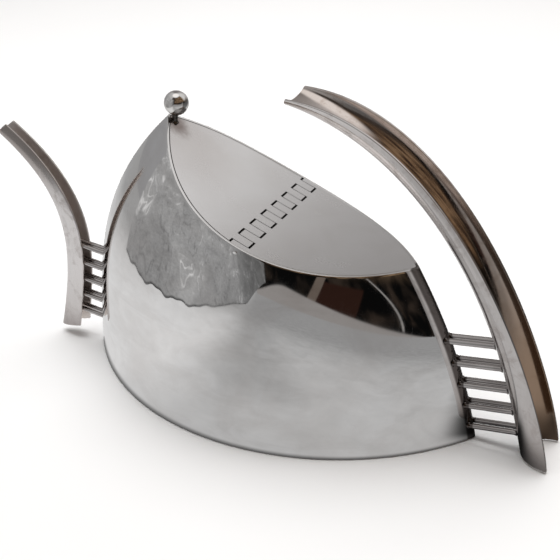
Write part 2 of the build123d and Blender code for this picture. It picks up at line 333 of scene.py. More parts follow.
def closed_sheet(rows, columns):
    """Faces of a sheet whose last row meets its first, with a strip over each end."""
    foot = np.arange(columns - 1)
    last = (rows - 1) * columns
    parts = [quads(rows, columns), np.stack([last + foot, last + foot + 1, foot + 1, foot], -1)]
    for j in (0, columns - 1):
        loop = np.arange(rows) * columns + j
        out, back = loop[:rows // 2], loop[::-1][:rows // 2]
        strip = np.stack([out[:-1], out[1:], back[1:], back[:-1]], -1)
        parts.append(strip if j == 0 else strip[:, ::-1])
    return parts


def build_wall(name, side, node):
    """One wall: side is -1 for the front and 1 for the rear."""
    grid = wall_grid() * np.array([1, -side, 1])
    rows, columns = grid.shape[:2]
    piece = mesh_piece(name, grid.reshape(-1, 3), closed_sheet(rows, columns))
    return ride_as(piece, "pot", "polished_silver", node)


front = build_wall("wall_front", -1, "front_wall")
rear = build_wall("wall_rear", 1, "rear_wall")
print("faces of each wall:", len(front.data.polygons))

# %% [markdown]
# Where the plates of the top end. They fill the pot between its walls, so their breadth is the
# pot's own breadth at that place and height. Their underside could come from Solidify, but it is
# a formula too, so that the sides stay against the walls.


# %% Breadth and underside of the plates
def half_breadth(x, z, inset):
    """Half breadth of the pot at x and z: the bow where it reaches, else the end's arc."""
    half, middle, bow, drop, angle = lens(z, inset)
    off = np.abs(x - middle)
    reach = half - end_radius
    on_bow = np.sqrt(np.maximum(bow**2 - off**2, 0)) - drop
    on_end = np.sqrt(np.maximum((end_radius - inset) ** 2 - (off - reach) ** 2, 0))
    return np.where(off < bow * np.cos(angle), on_bow, on_end)


def scoop_floor(x):
    """Height of the plates' underside over x: lower by the plate, measured square to it."""
    step = 0.05
    slope = (scoop_height(x + step) - scoop_height(x - step)) / (2 * step)
    return scoop_height(x) - plate * np.sqrt(1 + slope**2)


def find_end(inset, low, high):
    """X where the scoop's middle line meets the nose or the tail, by halving."""
    inside_low = half_breadth(low, scoop_height(low), inset) > 0
    for _ in range(halvings):
        x = (low + high) / 2
        inside = half_breadth(x, scoop_height(x), inset) > 0
        low, high = (x, high) if inside == inside_low else (low, x)
    return x


lid_apex = find_end(wall + lid_gap, -70.0, 0.0)
top_end = find_end(wall, 100.0, 60.0)
print("lid starts at x", round(lid_apex, 2), " fixed top ends at x", round(top_end, 2))

# %% [markdown]
# The lid and the fixed top are one scooped sheet, cut by a comb. The sheet is flat across the
# pot, so its grid needs only the lines that the comb cuts along: past the comb's root the lines
# keep their places, and before it they close in together with the walls. Faces between the
# fingers are left out, the underside is the same grid lower down, and each edge that belongs to
# one face only gets a side.

# %% Scooped plates with a comb
hinge_z = float(scoop_height(np.array(hinge_x))) - knuckle_depth
comb_half = float(half_width(hinge_z)) - wall - end_finger_width
finger_pitch = 2 * comb_half / (2 * finger_count - 1)
finger_edges = (np.arange(2 * finger_count) - finger_count + 0.5) * finger_pitch
print("hinge axis x, z, mm:", hinge_x, round(hinge_z, 3), " finger pitch:", round(finger_pitch, 3))


def plate_faces(rows, columns, keep):
    """Top, underside and sides of a plate whose grid keeps only some of its faces."""
    top = quads(rows, columns)[keep.reshape(-1)]
    count = rows * columns
    edges = np.vstack([np.stack([top[:, k], top[:, (k + 1) % 4]], -1) for k in range(4)])
    code = edges[:, 0] * count + edges[:, 1]
    back = edges[:, 1] * count + edges[:, 0]
    rim = edges[~np.isin(code, back)]
    sides = np.stack([rim[:, 1], rim[:, 0], rim[:, 0] + count, rim[:, 1] + count], -1)
    return [top, top[:, ::-1] + count, sides]


def build_plate(name, inset, x_rows, root, lines, fingers, node, body):
    """A scooped plate: lines are the comb's cuts across the pot, fingers says which spans stay."""
    x = np.asarray(x_rows)
    grids = []
    for z in (scoop_height(x), scoop_floor(x)):
        edge = half_breadth(x, z, inset)
        edge_at_root = half_breadth(np.array([root]), np.interp([root], x, z), inset)[0]
        in_comb = (x >= root - 1e-6) if root < hinge_x else (x <= root + 1e-6)
        share = np.where(in_comb, 1.0, edge / edge_at_root)
        inner = lines[None, :] * share[:, None]
        y = np.hstack([-edge[:, None], inner, edge[:, None]])
        grids.append(np.stack([np.broadcast_to(x[:, None], y.shape), y,
                               np.broadcast_to(z[:, None], y.shape)], -1))
    rows, columns = grids[0].shape[:2]
    middle = (x[:-1] + x[1:]) / 2
    comb_rows = (middle > root) if root < hinge_x else (middle < root)
    keep = np.where(comb_rows[:, None], np.array(fingers)[None, :], True)
    points = np.vstack([g.reshape(-1, 3) for g in grids])
    piece = mesh_piece(name, points, plate_faces(rows, columns, keep), merge=True)
    soften_edges(piece, 0.14, 50)
    return ride_as(piece, body, "satin_silver", node)


half_gap = seen_gap / 2
lid_lines = finger_edges + np.tile([half_gap, -half_gap], finger_count)
top_lines = finger_edges + np.tile([-half_gap, half_gap], finger_count)
lid_fingers = [False] + [True, False] * finger_count
top_fingers = [True] + [False, True] * finger_count
ease = np.linspace(0, 1, 150) ** 1.7        # rows crowd towards a plate's pointed end
comb_stations = 14

lid_x = np.concatenate([lid_apex + (lid_root - lid_apex) * ease,
                        np.linspace(lid_root, lid_tip, comb_stations)[1:]])
lid = build_plate("lid", wall + lid_gap, lid_x, lid_root, lid_lines, lid_fingers,
                  "lid_plate", "lid")
top_x = np.concatenate([np.linspace(top_tip, top_root, comb_stations)[:-1],
                        top_end - (top_end - top_root) * ease[::-1]])
top = build_plate("top_fixed", wall, top_x, top_root, top_lines, top_fingers,
                  "fixed_top", "pot")
print("faces of lid and fixed top:", len(lid.data.polygons), len(top.data.polygons))

# %% [markdown]
# The ball is a turned and polished sphere on a short stem. A ready UV sphere would do, but the
# ball, stem, rods and hinge pin are all surfaces of revolution: a profile of radius against
# distance along an axis, carried round it. So one helper turns them all.


# %% Turned pieces
def turned(origin, axis, profile, around=48):
    """Points round an axis: each profile pair is a distance along it and a radius.

    A ring's points are the radius times a cosine one way across and a sine the other way.
    """
    axis = np.array(axis) / np.linalg.norm(axis)
    across = np.array([0.0, 1.0, 0.0]) if abs(axis[1]) < 0.9 else np.array([1.0, 0.0, 0.0])
    side = np.cross(axis, across)
    angle = np.linspace(0, 2 * math.pi, around, endpoint=False)
    ring = np.cos(angle)[:, None] * across + np.sin(angle)[:, None] * side
    along = np.array(origin) + np.array([p[0] for p in profile])[:, None] * axis
    radius = np.array([p[1] for p in profile])[:, None, None]
    return along[:, None, :] + radius * ring[None]


def turned_piece(name, grids, sharp=40.0):
    """One mesh of several turned solids; rings of no radius are merged into closed poles."""
    points, faces, start = [], [], 0
    for grid in grids:
        rows, columns = grid.shape[:2]
        points.append(grid.reshape(-1, 3))
        faces.append(quads(rows, columns, closed=True, start=start))
        start += rows * columns
    return mesh_piece(name, np.vstack(points), faces, sharp, merge=True)


# %% [markdown]
# The ball and its stem. The stem leans with the lid, is sunk into it and widens downwards where
# solder holds it. Its upper end stops inside the ball.

# %% Ball and stem
foot_x = top_curve[0, 0] + stem_setback
foot = np.array([foot_x, 0.0, float(scoop_height(np.array(foot_x)))])
lean = math.radians(stem_lean)
stem_axis = np.array([math.sin(lean), 0.0, math.cos(lean)])
arc = np.linspace(0, math.pi, 97)
ball_profile = [(stem_show + ball_radius * (1 - math.cos(a)), ball_radius * math.sin(a))
                for a in arc]
ball = turned_piece("knob_ball", [turned(foot, stem_axis, ball_profile, 128)])
ride_as(ball, "lid", "polished_silver", "ball_knob")

stem_sunk, stem_flare, stem_fade, stem_top = 0.9, 0.9, 0.9, stem_show + 0.6
stem_profile = [(-stem_sunk, 0.0), (-stem_sunk, stem_radius)]
stem_profile += [(s, stem_radius + stem_flare * math.exp(-((s + stem_sunk) / stem_fade) ** 2))
                 for s in np.linspace(0.05 - stem_sunk, stem_top, 24)]
stem_profile += [(stem_top, 0.0)]
stem = turned_piece("knob_stem_turned", [turned(foot, stem_axis, stem_profile)])
ride_as(stem, "lid", "polished_silver", "knob_stem")
print("ball centre, mm:", np.round(foot + stem_axis * (stem_show + ball_radius), 2))

# %% [markdown]
# The hinge pin runs across the pot through both walls. Each end is hammered into a low dome, a
# little wider than the pin, that shows as a small ring in the wall.

# %% Hinge pin
pin_reach = float(half_breadth(np.array(hinge_x), np.array(hinge_z), 0.0))
dome_height, dome_lip, head_length = 0.16, 0.15, 1.2
pin_dome = [(dome_height * math.cos(a), (pin_radius + dome_lip) * math.sin(a))
            for a in np.linspace(0, math.pi / 2, 8)]
pin_profile = [(-pin_reach - d, r) for d, r in pin_dome]
pin_profile += [(-pin_reach + head_length, pin_radius), (pin_reach - head_length, pin_radius)]
pin_profile += [(pin_reach + d, r) for d, r in reversed(pin_dome)]
pin = turned_piece("pin_riveted", [turned((hinge_x, 0, hinge_z), (0, 1, 0), pin_profile, 32)])
ride_as(pin, "pot", "polished_silver", "hinge_pin")
print("pin reaches y, mm: +-", round(pin_reach + dome_height, 2))

# %% [markdown]
# The handle's rods come in pairs, one pair above the other. A cylinder would meet the sheets in
# a bare corner, but solder flares out there, so a rod is turned from a profile that widens at
# both ends. Its start is sunk in the tail and its far end stops inside the handle's sheet.


# %% Rods
def rod_profile(length, radius):
    """A plain bar from 0 to length whose two ends flare into solder; its start is sunk.

    The flare adds its height times e to the minus power 1.5 of the distance to the nearer end
    over the fade.
    """
    flare, fade, sunk, close = 0.45, 0.45, 0.9, 2.5
    stations = np.concatenate([np.linspace(0, close, 14),
                               np.linspace(close, length - close, 10)[1:-1],
                               np.linspace(length - close, length, 14)])
    near = np.minimum(stations, length - stations)
    radii = radius + flare * np.exp(-(near / fade) ** 1.5)
    ends = [(-sunk, 0.0), (-sunk, radius)]
    return ends + list(zip(stations, radii)) + [(length, 0.0)]


def rod_pair(name, node, height):
    """Two equal rods, from the pot's tail edge to inside the handle's sheet."""
    finish_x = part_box(node)[1][0] / MM - rod_short
    direction = np.array([math.cos(rod_rise), 0, math.sin(rod_rise)])
    start_x = float(tail_x(height))
    setback = end_radius - math.sqrt(end_radius**2 - rod_spacing**2)
    length = (finish_x - start_x) / math.cos(rod_rise) + setback
    grids = []
    for side in (-1, 1):
        origin = np.array([start_x, side * rod_spacing, height]) - direction * setback
        grids.append(turned(origin, direction, rod_profile(length, rod_radius), 40))
    return ride_as(turned_piece(name, grids), "pot", "rod_silver", node)


for row in range(1, rod_rows + 1):
    rod_pair(f"handle_rod_pair_{row}", f"handle_rods_{row}",
             rod_low + rod_pitch * (rod_rows - row))
print("rod pairs made:", rod_rows, " the spout's bars and tubes stay as they are in the frame")

# %% [markdown]
# Spout and handle are troughs drawn from sheet. Each station of the trough is one closed
# outline: round a free edge, down the outside half ellipse, round the other free edge and back
# up the inside. A curve with a bevel object would keep one section all along, while these grow
# wider and deeper towards the foot.


# %% A trough's section
def trough_outline(half, depth, thickness, count=44, corner=0.35, steps=5):
    """The section's outline as pairs: millimetres across the trough and into its depth.

    Half an ellipse outside and another inside, joined over each free edge by quarter rounds.
    """
    turn = np.linspace(0, math.pi / 2, steps)
    outer_start = math.asin(corner / depth)
    inner_depth, inner_half = depth - thickness, half - thickness
    inner_start = math.asin(corner / inner_depth)
    round_out = [(half - corner * (1 - math.sin(a)), corner * (1 - math.cos(a))) for a in turn]
    round_in = [(inner_half + corner * (1 - math.sin(a)), corner * (1 - math.cos(a)))
                for a in turn]
    sweep = np.linspace(0, 1, count + 2)[1:-1]
    outer = [(half * math.cos(a), depth * math.sin(a))
             for a in outer_start + (math.pi - 2 * outer_start) * sweep]
    inner = [(inner_half * math.cos(a), inner_depth * math.sin(a))
             for a in inner_start + (math.pi - 2 * inner_start) * sweep]
    mirror = [(-p, q) for p, q in reversed(round_out)]
    mirror_in = [(-p, q) for p, q in round_in]
    return np.array(round_out + outer + mirror + mirror_in + inner[::-1] + round_in[::-1])


print("points of a trough's section:", len(trough_outline(handle_halves[0], 20.0, handle_sheet)))

# %% [markdown]
# The outline is carried from the tip to the foot while its width and depth change, so the sheet
# stays equally thick at its free edges, which are softly rounded. The handle's curves are run on
# to a little above the table. An attribute marks the lining, which takes a painted reflection
# unlike the outside.


# %% Spout and handle
def build_trough(name, edge, web, widths, thickness, last, stations, slot, node):
    """A trough from its tip to the parameter last, closed by a strip at each end."""
    grid = []
    for t in np.linspace(0, last, stations):
        top_point, low_point = bezier(edge, t), bezier(web, t)
        depth = np.linalg.norm(low_point - top_point)
        inward = (low_point - top_point) / depth
        top_point, depth = top_point + rim_trim * inward, depth - 2 * rim_trim
        half = widths[0] + (widths[1] - widths[0]) * t
        outline = trough_outline(half, depth, thickness)
        x = top_point[0] + inward[0] * outline[:, 1]
        z = top_point[1] + inward[1] * outline[:, 1]
        grid.append(np.stack([x, outline[:, 0], z], -1))
    grid = np.array(grid)
    rows, columns = grid.shape[:2]
    faces = [quads(rows, columns, closed=True)]
    for base in (0, (rows - 1) * columns):
        loop = base + np.arange(columns)
        out, back = loop[:columns // 2], loop[::-1][:columns // 2]
        strip = np.stack([out[:-1], back[:-1], back[1:], out[1:]], -1)
        faces.append(strip if base == 0 else strip[:, ::-1])
    piece = mesh_piece(name, grid.reshape(-1, 3), faces, 40.0)
    lining = piece.data.attributes.new("lining", "FLOAT", "POINT")
    on_inside = np.tile(np.arange(columns) >= columns // 2, rows)
    lining.data.foreach_set("value", on_inside.astype(np.float32))
    soften_edges(piece, 0.2, 60)
    return ride_as(piece, "pot", slot, node)


foot_t = 1.0
for _ in range(20):
    short_by = handle_lift - bezier(handle_edge, foot_t)[1]
    foot_t = foot_t + short_by / bezier_slope(handle_edge, foot_t)[1]
handle = build_trough("handle_trough", handle_edge, handle_web, handle_halves, handle_sheet,
                      foot_t, 220, "drawn_silver", "handle_channel")
spout = build_trough("spout_trough", spout_edge, spout_web, spout_halves, spout_sheet,
                     1.0, 150, "drawn_silver", "spout_gutter")
print("handle faces:", len(handle.data.polygons), " spout faces:", len(spout.data.polygons))

# %% [markdown]
# The camera stands to the right of the front and looks down at about thirty degrees, with a
# small roll. Its three directions are worked out from those angles.

# %% Camera
camera_data = bpy.data.cameras.new("camera")
camera = bpy.data.objects.new("camera", camera_data)
bpy.context.scene.collection.objects.link(camera)
azimuth, elevation, roll = math.radians(27.41), math.radians(29.17), math.radians(-2.04)
back = Vector((math.sin(azimuth) * math.cos(elevation), -math.cos(azimuth) * math.cos(elevation),
               math.sin(elevation)))
level = Vector((math.cos(azimuth), math.sin(azimuth), 0))
upward = back.cross(level)
right = math.cos(roll) * level + math.sin(roll) * upward
up = math.cos(roll) * upward - math.sin(roll) * level
camera_place = Vector((0.2143, -0.4005, 0.3218))
turned_to = Matrix((right, up, back)).transposed().to_4x4()
camera.matrix_world = Matrix.Translation(camera_place) @ turned_to
camera_data.lens, camera_data.sensor_width = 61.07, 36.0
camera_data.clip_start, camera_data.clip_end = 0.01, 50.0
bpy.context.scene.camera = camera
print("camera at", [round(v, 4) for v in camera.location])

# %% [markdown]
# Finishes are written as sums. They could be joined up by hand in the node editor, but a small
# class that wraps one output of a node, and adds the Math nodes for arithmetic on it, lets a
# pattern read like a formula.


# %% A wire: one output of a node
class Wire:
    """One output of a node; + - * and powers on it add Math nodes."""

    def __init__(self, tree, socket):
        self.tree, self.socket = tree, socket

    def maths(self, operation, *values):
        """A Math node: the operation's name, then its one or two inputs in their order."""
        return node(self.tree, "ShaderNodeMath", {"operation": operation}, dict(enumerate(values)))

    def __add__(self, other):
        return self.maths("ADD", self, other)

    def __radd__(self, other):
        return self.maths("ADD", other, self)

    def __sub__(self, other):
        return self.maths("SUBTRACT", self, other)

    def __rsub__(self, other):
        return self.maths("SUBTRACT", other, self)

    def __mul__(self, other):
        return self.maths("MULTIPLY", self, other)

    def __rmul__(self, other):
        return self.maths("MULTIPLY", other, self)

    def __pow__(self, other):
        return self.maths("POWER", self, other)

    def above(self, low, high):
        """0 below low, 1 above high and a smooth step between; high below low turns it over."""
        return node(self.tree, "ShaderNodeMapRange", {"interpolation_type": "SMOOTHSTEP"},
                    {"Value": self, "From Min": low, "From Max": high})

    def between(self, low, high, soft):
        """1 from low to high, fading out over soft on both sides."""
        return self.above(low - soft, low) * self.above(high + soft, high)


def node(tree, kind, settings, inputs, output=0):
    """Adds a node: its settings first, then its sockets' values or links; gives one output."""
    made_node = tree.nodes.new(kind)
    for key, value in settings.items():
        setattr(made_node, key, value)
    for key, value in inputs.items():
        socket = made_node.inputs[key]
        if isinstance(value, Wire):
            tree.links.new(value.socket, socket)
        else:
            socket.default_value = value
    return Wire(tree, made_node.outputs[output]) if made_node.outputs else None


print("sums that may start with a number:", [name for name in vars(Wire) if "__r" in name])

# %% [markdown]
# Patterns and colours. Patterns are measured in Object coordinates, which are metres in the
# frame, so a grain or a scratch has its true size on every piece.


# %% Patterns and colours
def place(tree, scale=(1, 1, 1), turn=(0, 0, 0)):
    """Object coordinates in metres, scaled and turned for a pattern."""
    where = node(tree, "ShaderNodeTexCoord", {}, {}, "Object")
    return node(tree, "ShaderNodeMapping", {}, {"Vector": where, "Scale": scale, "Rotation": turn})


def noise(tree, size_mm, stretch=(1, 1, 1), detail=4.0, rough=0.5, twist=0.0, turn=(0, 0, 0)):
    """Noise from 0 to 1 whose lumps are about size_mm, drawn out along an axis by stretch."""
    spot = place(tree, tuple(1000 / size_mm / s for s in stretch), turn)
    return node(tree, "ShaderNodeTexNoise", {}, {"Vector": spot, "Scale": 1.0, "Detail": detail,
                                                 "Roughness": rough, "Distortion": twist})


def mix(tree, share, first, second):
    """A colour between two colours."""
    colours = {6: first, 7: second, 0: share}
    fixed = {k: (*v, 1.0) if isinstance(v, tuple) else v for k, v in colours.items()}
    return node(tree, "ShaderNodeMix", {"data_type": "RGBA"}, fixed, 2)


def grey(tree, tone):
    """A colour of equal parts from one wire."""
    return node(tree, "ShaderNodeCombineColor", {}, {0: tone, 1: tone, 2: tone})


def parts_of(tree, vector):
    """The X, Y and Z of a vector as wires."""
    split = node(tree, "ShaderNodeSeparateXYZ", {}, {0: vector})
    return [Wire(tree, output) for output in split.socket.node.outputs]


# %% [markdown]
# Bare metal. Every finish of the pot is the same shader at full metallic; what makes one silver
# differ from another is its colour, its roughness and the small relief that a Bump node reads.


# %% Materials
def new_tree(name):
    """An empty node material and its tree."""
    material = bpy.data.materials.new(name)
    material.use_nodes = True
    material.node_tree.nodes.clear()
    return material, material.node_tree


def finish_tree(tree, surface):
    """Joins a shader to the material's output."""
    node(tree, "ShaderNodeOutputMaterial", {}, {"Surface": surface})


def metal(name, colour, roughness, height, height_mm):
    """Bare metal: colour, roughness and a height in millimetres from the tree's own wires."""
    material, tree = new_tree(name)
    bump = node(tree, "ShaderNodeBump", {}, {"Height": height(tree), "Strength": 1.0,
                                             "Distance": height_mm * MM})
    surface = node(tree, "ShaderNodeBsdfPrincipled", {}, {
        "Base Color": colour(tree), "Metallic": 1.0, "Roughness": roughness(tree),
        "Normal": bump})
    finish_tree(tree, surface)
    return material


# %% [markdown]
# Polished silver. The buffing wheel leaves a mirror with three faults: a faint haze in clouds,
# hairlines in every direction and a sheet that is never quite flat. The haze and the hairlines
# go into the roughness, the slow waves and a fine grain into a bump of a few microns, and a
# breath of tarnish warms the colour where the haze lies. A dark strip is painted along the narrow
# upper tail edge, where the sheets are soldered: painted shade between the pot and its handle.


# %% Polished silver
def hairlines(tree, width_mm, length, turn):
    """Thin sparse lines: the crests of a noise that is drawn out along one direction."""
    lines = noise(tree, width_mm, (1, length, length), detail=2.0, turn=turn)
    return lines.above(0.66, 0.78)


def polished(name, bright, tarnish, haze, wave_mm, wave_size):
    """Mirror polish with haze in clouds, hairlines, slow waves and painted shade along the tail
    edge.

    The haze's two numbers are the roughness of clear metal and what a cloud adds to it.
    """
    def clouds(tree):
        return noise(tree, 38, detail=5.0, rough=0.55, twist=0.6).above(0.38, 0.72)

    def colour(tree):
        smears = noise(tree, 16, (3, 3, 1), detail=5.0, rough=0.6, twist=1.0).above(0.45, 0.7)
        hazy = mix(tree, clouds(tree) * 0.7, bright, tarnish)
        hazy = mix(tree, smears * 0.4, hazy, tuple(c * 0.9 for c in tarnish))
        x, _, z = (part * 1000 for part in parts_of(tree, place(tree)))
        from_tail = tail_foot - tail_lean * z - tail_curve * z * z - x
        # painted shade: a dark strip along the tail edge, between the pot and its handle
        tail_edge_shade = from_tail.between(-0.6, 2.2, 0.9) * z.above(112, 96)
        return mix(tree, tail_edge_shade * 0.9, hazy, (0.10, 0.083, 0.076))

    def roughness(tree):
        lines = hairlines(tree, 0.5, 40, (0.3, 0.5, 0.9))
        lines = lines + hairlines(tree, 0.45, 50, (1.1, -0.4, 0.2))
        return haze[0] + clouds(tree) * haze[1] + lines * 0.05

    def height(tree):
        waves = noise(tree, wave_size, detail=1.5, rough=0.4)
        fine = noise(tree, 0.7, (1, 12, 12), detail=3.0, turn=(0.4, 0.2, 0.7))
        return waves + fine * (fine_mm / wave_mm)

    return metal(name, colour, roughness, height, wave_mm)


fine_mm = 0.0006
silver_polished = polished("polished_silver", (0.90, 0.89, 0.885), (0.79, 0.765, 0.75),
                           (0.022, 0.045), 0.010, 26)
# The rods' silver is painted far darker than the pot's: painted shade between the handle and the
# pot.
rod_silver_painted_shade = polished("rod_silver", (0.60, 0.57, 0.56), (0.34, 0.31, 0.30), (0.04, 0.04),
                      0.001, 14)
silver_ball = polished("ball_silver", (0.90, 0.885, 0.875), (0.82, 0.80, 0.78), (0.03, 0.02),
                       0.002, 6)
# The stem's near-black silver is painted shade, under the ball.
stem_shade_silver = polished("stem_painted_shade", (0.17, 0.155, 0.145), (0.05, 0.045, 0.04), (0.16, 0.2),
                         0.02, 1.5)
silver_inner = polished("inner_silver", (0.62, 0.61, 0.60), (0.42, 0.40, 0.38), (0.34, 0.12),
                        0.01, 12)
print("nodes of polished silver:", len(silver_polished.node_tree.nodes))

# %% [markdown]
# Satin silver, on the scooped top. A brush drawn along the pot leaves a fine grain that blurs
# what the sheet mirrors. A shadow of the ball is painted round the stem, so the colour darkens
# towards it, with a wider faint painted shadow round that, and a noise makes its edge uneven.


# %% Satin silver
def satin(name):
    """Satin silver: a fine brushed grain along the pot, soft clouds, a painted shadow round the
    stem.
    """
    def grain(tree):
        return noise(tree, 0.35, (30, 1, 1), detail=3.0, rough=0.6)

    def colour(tree):
        x, y, _ = parts_of(tree, place(tree))
        clouds = noise(tree, 30, twist=0.4).above(0.3, 0.75)
        base = mix(tree, clouds * 0.6 + grain(tree) * 0.15, (0.87, 0.86, 0.86), (0.79, 0.77, 0.76))
        from_stem = ((x - foot[0] * MM) ** 2 + y * y) ** 0.5
        ragged_edge = noise(tree, 4, rough=0.6) * 0.006
        # painted shadow of the ball: dark close round the stem, gone by about 12 mm
        ball_shadow = mix(tree, (from_stem + ragged_edge).above(0.0125, 0.005), base, (0.20, 0.16, 0.15))
        # a wider, fainter painted shadow of the ball, out to about 40 mm
        return mix(tree, (from_stem - ragged_edge).above(0.040, 0.004) * 0.35, ball_shadow, (0.55, 0.49, 0.46))

    def roughness(tree):
        clouds = noise(tree, 22, detail=3.0).above(0.35, 0.7)
        return 0.20 + clouds * 0.05 + grain(tree) * 0.05

    return metal(name, colour, roughness, grain, grain_mm)


grain_mm = 0.0035
silver_satin = satin("satin_silver")
print("nodes of satin silver:", len(silver_satin.node_tree.nodes))

# %% [markdown]
# Drawn silver, on the spout and the handle. Pulling the sheet through a die leaves streaks along
# it. The lining carries a painted reflection that the outside lacks: brown in the handle and
# pale, painted light, in the spout. The lining attribute tells them apart. Both troughs darken at
# the foot, and the spout's outside darkens at its tip as well, which is painted shade.


# %% Drawn silver
def drawn(name, bright, tarnish, painted_lining, gloss, inner_gloss, tip_low, tip_high):
    """Drawn silver: streaks, mottled tarnish, a lining painted with a reflection, stronger
    downwards.

    The outside darkens, as painted shade, from the height tip_low to tip_high, both in metres.
    """
    def inside(tree):
        return node(tree, "ShaderNodeAttribute", {"attribute_name": "lining"}, {}, "Fac")

    def streaks(tree):
        return noise(tree, 1.1, (1, 1, 30), detail=3.0, rough=0.55)

    def mottle(tree):
        return noise(tree, 9, detail=6.0, rough=0.62, twist=0.8).above(0.46, 0.72)

    def colour(tree):
        _, _, z = parts_of(tree, place(tree))
        skin = mix(tree, mottle(tree) * 0.5 + streaks(tree) * 0.25, bright, tarnish)
        skin = mix(tree, z.above(0.055, 0.0) * 0.55, skin, tarnish)
        tip_shade = z.above(tip_low, tip_high) * (1 - inside(tree))
        # painted shade on the spout's outside towards its tip
        skin = mix(tree, tip_shade * 0.85, skin, (0.40, 0.35, 0.325))
        skin = mix(tree, z.above(0.024, 0.002) * 0.6, skin, (0.24, 0.205, 0.195))
        # painted reflection in the lining: brown in the handle, pale painted light in the spout,
        # stronger downwards
        lining_paint_share = inside(tree) * (0.30 + 0.62 * z.above(0.14, 0.04))
        return mix(tree, lining_paint_share, skin, painted_lining)

    def roughness(tree):
        shine = gloss + (inner_gloss - gloss) * inside(tree)
        return shine + mottle(tree) * 0.09 + streaks(tree).above(0.5, 0.8) * 0.05

    return metal(name, colour, roughness, streaks, streak_mm)


streak_mm = 0.003
# The lining colours are painted: a brown painted reflection in the handle, painted light in the
# spout.
silver_drawn = drawn("drawn_silver", (0.82, 0.785, 0.77), (0.50, 0.44, 0.41),
                     (0.40, 0.265, 0.175), 0.12, 0.11, 0.3, 0.4)
silver_spout = drawn("spout_silver", (0.86, 0.83, 0.82), (0.50, 0.45, 0.43),
                     (0.86, 0.80, 0.76), 0.17, 0.55, 0.085, 0.125)
print("nodes of drawn silver:", len(silver_drawn.node_tree.nodes))

# %% [markdown]
# Which piece wears which silver. The record names a slot for each CAD piece, and a new piece
# carries its slot's name, so most finishes follow from the slots. The ball, the stem and the
# spout differ a little from the other pieces of their slot.

# %% Finishes on the pieces
finish_of = {"polished_silver": silver_polished, "satin_silver": silver_satin,
             "drawn_silver": silver_drawn, "rod_silver": rod_silver_painted_shade, "inner_silver": silver_inner}


def give_finish(piece, material):
    """Puts one material on a whole piece."""
    piece.data.materials.clear()
    piece.data.materials.append(material)


for piece in made:
    give_finish(piece, finish_of[piece["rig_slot"]])
# the stem takes the painted shade under the ball
for piece, finish in ((ball, silver_ball), (stem, stem_shade_silver), (spout, silver_spout)):
    give_finish(piece, finish)
slot_of = {part["node"]: part["material_slot"] for part in frame["record"]["subparts"]}
kept_nodes = [name for name, part in frame["nodes"].items() if not part.hide_render]
for name in kept_nodes:
    give_finish(frame["nodes"][name], finish_of[slot_of[name]])
print("new pieces:", len(made), " CAD pieces kept:", kept_nodes)

# %% [markdown]
# A mirror shows its studio, so the studio is part of the finish. A dome stands for the room: the
# light ceiling and rear wall, a dark room to the right and in front, and a warm brown corner.
# A table top and a crumpled cloth screen stand nearer. These three are stage pieces that are seen
# in the silver only. They give their own light, so that each one's tones are set in one place and
# don't hang on lamps.


# %% Helpers for the studio
def stage_grid(name, points, columns):
    """A stage mesh from a grid of points in metres."""
    points = np.asarray(points)
    mesh = bpy.data.meshes.new(name)
    mesh.from_pydata(points.reshape(-1, 3).tolist(), [],
                     quads(points.shape[0], columns).tolist())
    mesh.shade_smooth()
    card = bpy.data.objects.new(name, mesh)
    bpy.context.scene.collection.objects.link(card)
    return card


def seen_in_silver_only(card, lights_floor):
    """Hides a stage piece from the camera, and from the floor unless it lights it."""
    card.visible_camera = False
    card.visible_shadow = False
    card.visible_diffuse = lights_floor


def glowing(name, colour):
    """A material that gives its own light, coloured by the tree's own wires."""
    material, tree = new_tree(name)
    finish_tree(tree, node(tree, "ShaderNodeEmission", {}, {"Color": colour(tree)}))
    return material


print("pieces that the studio surrounds:", len(made) + len(kept_nodes))

# %% [markdown]
# The room is a dome, and its tones are a function of the bearing and the height at which the pot
# would see them. A painted picture of a room would do the same, but the formula needs no
# file and each tone can be moved on its own.

# %% The room
dome_radius, dome_low = 6.0, -0.08
around = 97
ring, climb = np.meshgrid(np.linspace(-math.pi, math.pi, around),
                          np.linspace(dome_low, math.pi / 2, 33))
dome = stage_grid("room_dome", dome_radius * np.stack(
    [np.sin(ring) * np.cos(climb), np.cos(ring) * np.cos(climb), np.sin(climb)], -1), around)
seen_in_silver_only(dome, True)


